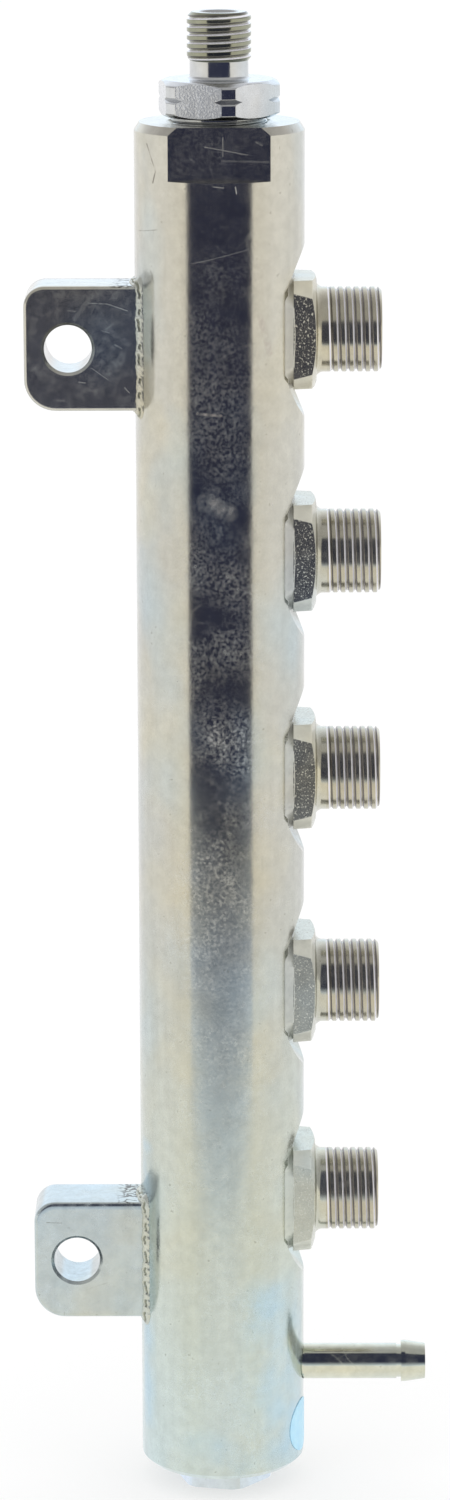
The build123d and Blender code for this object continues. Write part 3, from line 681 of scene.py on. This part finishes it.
def passivated(name, tones, polish, haze, cloud, grain, grain_height, drawn=0.0, fleck=1.4,
               flat_grain=0.0, flat_polish=0.2, flat_specks=0.0, flat_film=0.0, corner_film=0.0,
               thread_tint=None, light_marks=(), stains=(), scratched=0.12, spatter=False):
    """Zinc plate under a clear passivate on steel.

    tones are its colours from the foot up and polish its roughness where it is clean; where the tones turn
    bluer towards the foot, that is a painted reflection of the bluish floor. haze is the least and the most of a
    white film, in clouds of the size cloud that are broken into flecks of the size fleck. grain is the size of
    its small bumps and grain_height their height. Flats of drawn bar have coarser bumps, flat_grain high, with
    flat_film of white film and flat_specks more of it on the bumps. corner_film is the film on the turned
    corners between them. stains are (marks, colour, size of their patches, how much film they add).
    """
    material, tree, shader, point = start_material(name)
    height = node(tree, "SeparateXYZ", point, out="Z")
    # Colour by height; the bluer tones near the foot are a painted reflection of the bluish floor
    colour = node(tree, "ValToRGB", node(tree, "MapRange", height, 0.0, 275.0))
    set_stops(colour, [(place, linear(code)) for place, code in tones])

    # The passivate's straw and blue films, the olive of the threads, and a painted highlight and painted shade on
    # the threads' flanks
    straw = node(tree, "MapRange", lumps(tree, point, 26.0), 0.5, 0.72, 0.0, 0.35)
    colour = node(tree, "Mix", straw, colour, linear("#dcd0a8"), data_type="RGBA")
    blue = node(tree, "MapRange", lumps(tree, point, 19.0, 2.0, (1, 1, 1.6)), 0.52, 0.75, 0.0, 0.4)
    colour = node(tree, "Mix", blue, colour, linear("#b4cede"), data_type="RGBA")
    if thread_tint:
        threads = node(tree, "Math", node(tree, "Attribute", attribute_name="threaded", out="Fac"), 0.85,
                       operation="MULTIPLY")
        colour = node(tree, "Mix", threads, colour, linear(thread_tint), data_type="RGBA")
        # Painted highlight on the flanks that lean one way and painted shade on those that lean the other
        flank = node(tree, "Attribute", attribute_name="flank", out="Fac")
        painted_highlight_flanks = node(tree, "MapRange", flank, 0.3, 0.9)
        colour = node(tree, "Mix", painted_highlight_flanks, colour, linear("#eceaf0"), data_type="RGBA")
        painted_shade_flanks = node(tree, "MapRange", flank, -0.3, -0.9, 0.0, 0.75)
        colour = node(tree, "Mix", painted_shade_flanks, colour, linear("#5b5459"), data_type="RGBA")
    pools = node(tree, "Attribute", attribute_name="pool", out="Fac")
    pools = node(tree, "Math", pools, 0.8, operation="MULTIPLY")
    colour = node(tree, "Mix", pools, colour, linear("#6a6d56"), data_type="RGBA")

    # Mottle, streaks along the rail and pits
    mottle = node(tree, "MapRange", lumps(tree, point, 2.2, 5.0, roughness=0.6), 0.3, 0.7, 0.92, 1.05)
    colour = node(tree, "Mix", 1.0, colour, mottle, data_type="RGBA", blend_type="MULTIPLY")
    streaks = node(tree, "MapRange", lumps(tree, point, 2.6, 3.0, (1, 1, 11)), 0.35, 0.65, 0.96, 1.03)
    colour = node(tree, "Mix", 1.0, colour, streaks, data_type="RGBA", blend_type="MULTIPLY")
    pits = node(tree, "MapRange", lumps(tree, point, 1.1, 2.0), 0.7, 0.76, 0.0, 0.35)
    colour = node(tree, "Mix", pits, colour, linear("#6d6b60"), data_type="RGBA")
    veils = []
    for stain_marks, code, patch, veil in stains:
        stain = marked(tree, point, stain_marks)
        broken = node(tree, "MapRange", lumps(tree, point, patch), 0.3, 0.65)
        broken = node(tree, "Math", stain, broken, operation="MULTIPLY")
        veils.append(node(tree, "Math", broken, veil, operation="MULTIPLY"))
        colour = node(tree, "Mix", broken, colour, linear(code), data_type="RGBA")
    if spatter:
        normal = node(tree, "NewGeometry", out="Normal")
        facing_up = node(tree, "MapRange", node(tree, "SeparateXYZ", normal, out="Z"), 0.5, 0.8)
        near = node(tree, "MapRange", node(tree, "SeparateXYZ", point, out="X"), -21.0, -19.0)
        squiggle = hairlines(tree, point, 1.8, 0.09, 0.36)
        squiggle = node(tree, "Math", squiggle, node(tree, "Math", near, facing_up, operation="MULTIPLY"),
                        operation="MULTIPLY")
        colour = node(tree, "Mix", squiggle, colour, linear("#4a453c"), data_type="RGBA")
    tree.links.new(colour, shader["Base Color"])

    # White film in clouds, with scratches through the shine. Its fade, thinner towards the top, paints the lower
    # part whiter: painted light from the bright floor
    clouds = node(tree, "MapRange", lumps(tree, point, cloud, 6.0, roughness=0.62), 0.36, 0.7)
    grains = node(tree, "MapRange", lumps(tree, point, fleck), 0.38, 0.72, 0.0, 1.9)
    # Painted light: more white film low down stands in for the bright floor lighting the lower part
    painted_floor_light = node(tree, "MapRange", height, 250.0, 130.0, 0.2, 1.0)
    film = node(tree, "Math", clouds, grains, operation="MULTIPLY")
    film = node(tree, "Math", film, painted_floor_light, operation="MULTIPLY")
    film = node(tree, "Math", film, haze[1] - haze[0], haze[0], operation="MULTIPLY_ADD")
    for veil in veils:
        film = node(tree, "Math", veil, film, operation="ADD")
    lines = hairlines(tree, point, 19.0, 0.0022, 0.55)
    for turn in (0.5, -0.9):
        more = hairlines(tree, point, 8.0, 0.006, 0.56, turn, (1, 1, 4))
        lines = node(tree, "Math", lines, more, operation="MAXIMUM")
    film = node(tree, "Math", lines, scratched, film, operation="MULTIPLY_ADD")
    if corner_film:
        corners = node(tree, "Attribute", attribute_name="turned_corner", out="Fac")
        corners = node(tree, "MapRange", corners, 0.85, 1.0)
        film = node(tree, "Math", corners, corner_film, film, operation="MULTIPLY_ADD")
    if thread_tint:
        # More white film on the same flanks adds to their painted highlight
        painted_highlight_flanks = node(tree, "MapRange", flank, 0.3, 0.9, 0.0, 0.7)
        film = node(tree, "Math", film, painted_highlight_flanks, operation="ADD")
    if light_marks:
        film = node(tree, "Math", film, marked(tree, point, light_marks), operation="ADD")
    worn = lumps(tree, point, 5.0, 5.0, roughness=0.65)
    rough = node(tree, "MapRange", worn, 0.3, 0.75, polish, polish + 0.1)
    rough = node(tree, "Math", lines, scratched, rough, operation="MULTIPLY_ADD")

    # Bumps: fine grain, lines of the drawing die along the rail, shallow dimples, and the pebbled flats
    fine = lumps(tree, point, grain)
    if drawn:
        die_lines = lumps(tree, point, 0.5, 2.0, (1, 1, 30))
        fine = node(tree, "Math", die_lines, drawn, fine, operation="MULTIPLY_ADD")
    bumps = node(tree, "Bump", Strength=1.0, Distance=grain_height * MM, Height=fine)
    bumps = node(tree, "Bump", Strength=1.0, Distance=0.02 * MM, Height=lumps(tree, point, 4.5), Normal=bumps)
    if flat_grain:
        flat = node(tree, "Attribute", attribute_name="drawn_flat", out="Fac")
        flat = node(tree, "MapRange", flat, 0.0, 0.15)
        # The real grain of the bar, about 0.15 mm, is too fine to show, so it is drawn coarser
        pebbles = lumps(tree, point, 0.38, 1.0)
        raised = node(tree, "Math", pebbles, flat, operation="MULTIPLY")
        bumps = node(tree, "Bump", Strength=1.0, Distance=flat_grain * MM, Height=raised, Normal=bumps)
        rough = node(tree, "Math", rough, node(tree, "Math", flat, flat_polish, operation="MULTIPLY"),
                     operation="MAXIMUM")
        specks = node(tree, "MapRange", pebbles, 0.57, 0.72, flat_film, flat_film + flat_specks)
        film = node(tree, "Math", specks, flat, film, operation="MULTIPLY_ADD")
    tree.links.new(rough, shader["Roughness"])
    tree.links.new(node(tree, "Math", 1.0, film, operation="SUBTRACT", use_clamp=True), shader["Metallic"])
    tree.links.new(bumps, shader["Normal"])
    return material


def oiled_steel(name, tone, polish, lay):
    """Bare steel under oil: grey, with fine lines of grinding or drawing that are lay millimetres apart."""
    material, tree, shader, point = start_material(name)
    film = node(tree, "MapRange", lumps(tree, point, 3.0, 4.0), 0.35, 0.7)
    shades = [linear(tone), linear("#8a7f6c")]
    share = node(tree, "Math", film, 0.25, operation="MULTIPLY")
    tree.links.new(node(tree, "Mix", share, *shades, data_type="RGBA"), shader["Base Color"])
    shader["Metallic"].default_value = 1.0
    tree.links.new(node(tree, "MapRange", film, 0.0, 1.0, polish, polish + 0.12), shader["Roughness"])
    lines = lumps(tree, point, lay, 2.0, (1, 12, 1))
    tree.links.new(node(tree, "Bump", Strength=1.0, Distance=0.004 * MM, Height=lines), shader["Normal"])
    return material


def moulded_rubber():
    """Black nitrile rubber: dull black, with a grey bloom."""
    material, tree, shader, point = start_material("moulded_nitrile_rubber")
    bloom = node(tree, "MapRange", lumps(tree, point, 1.5, 4.0), 0.4, 0.75, 0.0, 0.5)
    colour = node(tree, "Mix", bloom, linear("#17181a"), linear("#3a3b3d"), data_type="RGBA")
    tree.links.new(colour, shader["Base Color"])
    shader["Roughness"].default_value = 0.6
    shader["IOR"].default_value = 1.52
    grain = lumps(tree, point, 0.25, 3.0)
    tree.links.new(node(tree, "Bump", Strength=1.0, Distance=0.01 * MM, Height=grain), shader["Normal"])
    return material


def label_film():
    """Plain light-blue label film: faintly mottled where it lies on the rough plate, a little shiny."""
    material, tree, shader, point = start_material("light_blue_label_film")
    mottle = node(tree, "MapRange", lumps(tree, point, 2.0, 4.0), 0.3, 0.7)
    colour = node(tree, "Mix", mottle, linear("#b3e4fd"), linear("#c2ecff"), data_type="RGBA")
    tree.links.new(colour, shader["Base Color"])
    shader["Roughness"].default_value = 0.4
    creases = lumps(tree, point, 1.2, 3.0)
    tree.links.new(node(tree, "Bump", Strength=1.0, Distance=0.01 * MM, Height=creases), shader["Normal"])
    return material


def finish_materials():
    """Every finish of the object, by the name of its material slot."""
    # Colours from the foot up; the bluer tones near the foot are a painted reflection of the bluish floor
    tube_tones_and_floor_reflection = [(0.0, "#cbdce0"), (0.2, "#c9d0c8"), (0.45, "#c5c6c1"), (1.0, "#cbc9c0")]
    plate_tones_and_floor_reflection = [(0.0, "#bfced6"), (0.2, "#c3cdcf"), (0.45, "#c5c6c1"), (1.0, "#c9c8c2")]
    turned_tones_and_floor_reflection = [(0.0, "#cbd1c8"), (0.4, "#c7c7bc"), (1.0, "#c6c2b3")]
    finishes = {}
    # Drawn tube, barrel plated: pale satin, cream above and blue-green below, cloudy in its reflections. The
    # blue-green below is a painted reflection of the bluish floor
    finishes["zinc_plated_tube"] = passivated(
        "zinc_plated_drawn_tube", tube_tones_and_floor_reflection, 0.12, (0.0, 0.34), 12.0, 0.5, 0.005, drawn=0.4, fleck=0.6,
        light_marks=tube_scratches, scratched=0.04,
        stains=[(tube_stains, "#8d7468", 1.6, 0.9), (tube_dark_scratches, "#5c5850", 1.6, 0.0),
                (tube_blue_films, "#a9d4f2", 8.0, 0.3)])
    # Turned nipple: bright, with clean dark reflections, and pebbled flats of drawn square bar
    finishes["zinc_plated_fitting"] = passivated(
        "zinc_plated_turned_nipple", turned_tones_and_floor_reflection, 0.15, (0.04, 0.14), 6.0, 0.3, 0.002, flat_grain=0.004,
        flat_polish=0.26, flat_specks=0.75, corner_film=0.85, thread_tint="#bdb9a8", scratched=0.05)
    # Braze metal: lumpy and matt, lighter than what it joins
    finishes["plated_braze"] = passivated(
        "zinc_plated_braze", tube_tones_and_floor_reflection, 0.35, (0.75, 0.95), 3.0, 0.6, 0.05)
    # Rolled plate: smooth, clouded, with light marks
    finishes["zinc_plated_tab"] = passivated(
        "zinc_plated_rolled_plate", plate_tones_and_floor_reflection, 0.12, (0.06, 0.36), 4.0, 0.4, 0.003,
        light_marks=tab_scratches, stains=[(tab_dark_scratches, "#6a6458", 1.6, 0.0)], scratched=0.06,
        spatter=True)
    # Weld metal: rounded ripples that catch the light, olive in its hollows
    finishes["plated_weld"] = passivated(
        "zinc_plated_weld_metal", turned_tones_and_floor_reflection, 0.2, (0.2, 0.5), 3.0, 0.35, 0.012)
    # Hexagon pieces: bright blue-white plate, grained flats, olive threads
    finishes["zinc_plated_adaptor"] = passivated(
        "zinc_plated_hexagon", [(0.0, "#d6e6fa"), (0.3, "#d0d4d8"), (1.0, "#cfd2d6")], 0.1, (0.0, 0.08),
        6.0, 0.3, 0.002, flat_grain=0.024, flat_polish=0.14, flat_specks=0.3, flat_film=0.45,
        thread_tint="#8f917a", scratched=0.05)
    # Drawn small tube: bright with a straw tint
    finishes["zinc_plated_barb"] = passivated(
        "zinc_plated_small_tube", [(0.0, "#d4d8cc"), (1.0, "#d4d8cc")], 0.08, (0.0, 0.08), 6.0, 0.4, 0.002)
    # Label film: plain blue, a little shiny
    finishes["blue_label"] = label_film()
    # Ground and hardened steel: dark grey and oily
    finishes["hardened_steel"] = oiled_steel("ground_hardened_steel", "#8f9295", 0.16, 0.25)
    # Spring wire: darker, with drawing lines
    finishes["spring_steel"] = oiled_steel("drawn_spring_wire", "#6f6e6c", 0.28, 0.2)
    finishes["nitrile_rubber"] = moulded_rubber()
    return finishes


def studio_world():
    """White all round for the eye and for plain light.

    What shines sees pale walls and a floor of even brightness, and above them a sky that is grey in front and
    overhead and brightens to a bluish white behind.
    """
    world = bpy.data.worlds.new("pale_studio")
    bpy.context.scene.world = world
    world.use_nodes = True
    tree = world.node_tree
    tree.nodes.clear()
    way = node(tree, "TexCoord", out="Generated")
    behind = node(tree, "MapRange", node(tree, "SeparateXYZ", way, out="Y"), -1.0, 1.0)
    walls = [(0.0, (1.0, 0.96, 0.89)), (0.15, (1.0, 0.95, 0.84)), (0.4, (1.04, 1.01, 0.95)),
             (0.7, (1.03, 1.02, 0.99)), (0.92, (1.0, 1.0, 1.0)), (1.0, (1.05, 1.05, 1.07))]
    sky = [(0.0, (0.5, 0.49, 0.47)), (0.5, (0.46, 0.45, 0.44)), (0.72, (0.66, 0.65, 0.65)),
           (0.9, (1.1, 1.13, 1.18)), (1.0, (1.14, 1.3, 1.46))]
    # A ramp holds colours up to 1, so they are divided by the strength that they are shown at
    brightest = 1.5
    seen_in_metal = []
    for stops in (walls, sky):
        ramp = node(tree, "ValToRGB", behind)
        set_stops(ramp, [(place, tuple(part / brightest for part in colour) + (1.0,)) for place, colour in stops])
        seen_in_metal.append(ramp)
    above = node(tree, "MapRange", node(tree, "SeparateXYZ", way, out="Z"), 0.03, 0.13)
    mirrored = node(tree, "Mix", above, *seen_in_metal, data_type="RGBA")
    mirrored = node(tree, "Background", mirrored, brightest)
    lit = node(tree, "Background", (1.0, 1.0, 1.0, 1.0), 1.08)
    seen = node(tree, "Background", (1.0, 1.0, 1.0, 1.0), 1.0)
    shader = node(tree, "MixShader", node(tree, "LightPath", out="Is Camera Ray"), lit, seen)
    shader = node(tree, "MixShader", node(tree, "LightPath", out="Is Glossy Ray"), shader, mirrored)
    node(tree, "OutputWorld", shader)


def dark_room():
    """The dark room round the camera, as a leaning trapezium that only mirrors show.

    It fades to grey at its top and to the pale blue-white of the floor at its foot.
    """
    tangent = math.tan(math.radians(room_bearing))
    corners = [(side * distance * tangent, -distance, height) for distance, height, side in
               ((*room_low, -1), (*room_low, 1), (*room_high, 1), (*room_high, -1))]
    mesh = bpy.data.meshes.new("dark_room")
    mesh.from_pydata([[v * MM for v in corner] for corner in corners], [], [(0, 1, 2, 3)])
    room = bpy.data.objects.new("dark_room", mesh)
    bpy.context.scene.collection.objects.link(room)
    material = bpy.data.materials.new("dark_room")
    material.use_nodes = True
    tree = material.node_tree
    tree.nodes.clear()
    height = node(tree, "SeparateXYZ", node(tree, "TexCoord", out="Object"), out="Z")
    grey = node(tree, "MapRange", height, *(v * MM for v in room_fade), interpolation_type="SMOOTHSTEP")
    white = node(tree, "MapRange", height, *(v * MM for v in floor_fade))
    colour = node(tree, "Mix", grey, (0.030, 0.034, 0.066, 1.0), (0.5, 0.49, 0.47, 1.0), data_type="RGBA")
    colour = node(tree, "Mix", white, colour, (0.84, 0.92, 1.0, 1.0), data_type="RGBA")
    node(tree, "OutputMaterial", node(tree, "Emission", colour, 1.0))
    mesh.materials.append(material)
    room.visible_camera = False
    room.visible_diffuse = False
    room.visible_transmission = False
    room.visible_shadow = False


def pale_floor():
    """A wide white floor at the foot, faintly uneven, with a faint shadow. The metal doesn't mirror it."""
    reach = 6.0
    mesh = bpy.data.meshes.new("floor")
    corners = [(-reach, -reach, 0), (reach, -reach, 0), (reach, reach, 0), (-reach, reach, 0)]
    mesh.from_pydata(corners, [], [(0, 1, 2, 3)])
    floor = bpy.data.objects.new("floor", mesh)
    bpy.context.scene.collection.objects.link(floor)
    material, tree, shader, point = start_material("pale_floor")
    uneven = lumps(tree, point, 400.0)
    colour = node(tree, "Mix", uneven, linear("#fdfdfd"), linear("#ffffff"), data_type="RGBA")
    tree.links.new(colour, shader["Base Color"])
    shader["Roughness"].default_value = 0.9
    shader["Specular IOR Level"].default_value = 0.0
    share = node(tree, "Math", node(tree, "LightPath", out="Is Camera Ray"), 0.6, operation="MULTIPLY")
    output = next(made for made in tree.nodes if made.type == "OUTPUT_MATERIAL")
    surface = output.inputs["Surface"].links[0].from_socket
    glow = node(tree, "Emission", (1.0, 1.0, 1.0, 1.0), 1.0)
    tree.links.new(node(tree, "MixShader", share, surface, glow), output.inputs["Surface"])
    mesh.materials.append(material)
    floor.visible_glossy = False


def add_camera():
    """A long lens in front and a little above, turned by yaw, pitch and roll from looking along +Y."""
    pitch, yaw, roll = (math.radians(a) for a in (camera_pitch, camera_yaw, camera_roll))
    ahead = np.array([math.sin(yaw) * math.cos(pitch), math.cos(yaw) * math.cos(pitch), -math.sin(pitch)])
    level_right = np.array([math.cos(yaw), -math.sin(yaw), 0])
    level_up = np.cross(level_right, ahead)
    right = math.cos(roll) * level_right + math.sin(roll) * level_up
    up = math.cos(roll) * level_up - math.sin(roll) * level_right
    data = bpy.data.cameras.new("camera")
    data.sensor_fit = "VERTICAL"
    data.sensor_height = 36.0
    data.lens = camera_focal / picture_height * data.sensor_height
    data.clip_start, data.clip_end = 0.01, 50.0
    camera = bpy.data.objects.new("camera", data)
    bpy.context.scene.collection.objects.link(camera)
    turn = np.stack([right, up, -ahead], axis=-1)
    camera.matrix_world = Matrix.Translation([v * MM for v in camera_place]) @ Matrix(turn.tolist()).to_4x4()
    bpy.context.scene.camera = camera


finishes = finish_materials()
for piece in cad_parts.values():
    for material_slot in piece.material_slots:
        slot = material_slot.material.name.split(".")[0]
        if slot in finishes:
            material_slot.material = finishes[slot]

for number in range(1, outlet_count + 1):
    outlet_fitting(number, finishes["zinc_plated_fitting"])
    braze_collar(number, finishes["plated_braze"])
for seed, place in enumerate(("upper", "lower")):
    tab_plate(place, finishes["zinc_plated_tab"])
    weld_bead(place, finishes["plated_weld"], seed)

end_adaptor(finishes["zinc_plated_adaptor"])
coil_spring(finishes["spring_steel"])

studio_world()
pale_floor()
dark_room()
add_camera()
bpy.context.scene.view_settings.view_transform = "Standard"
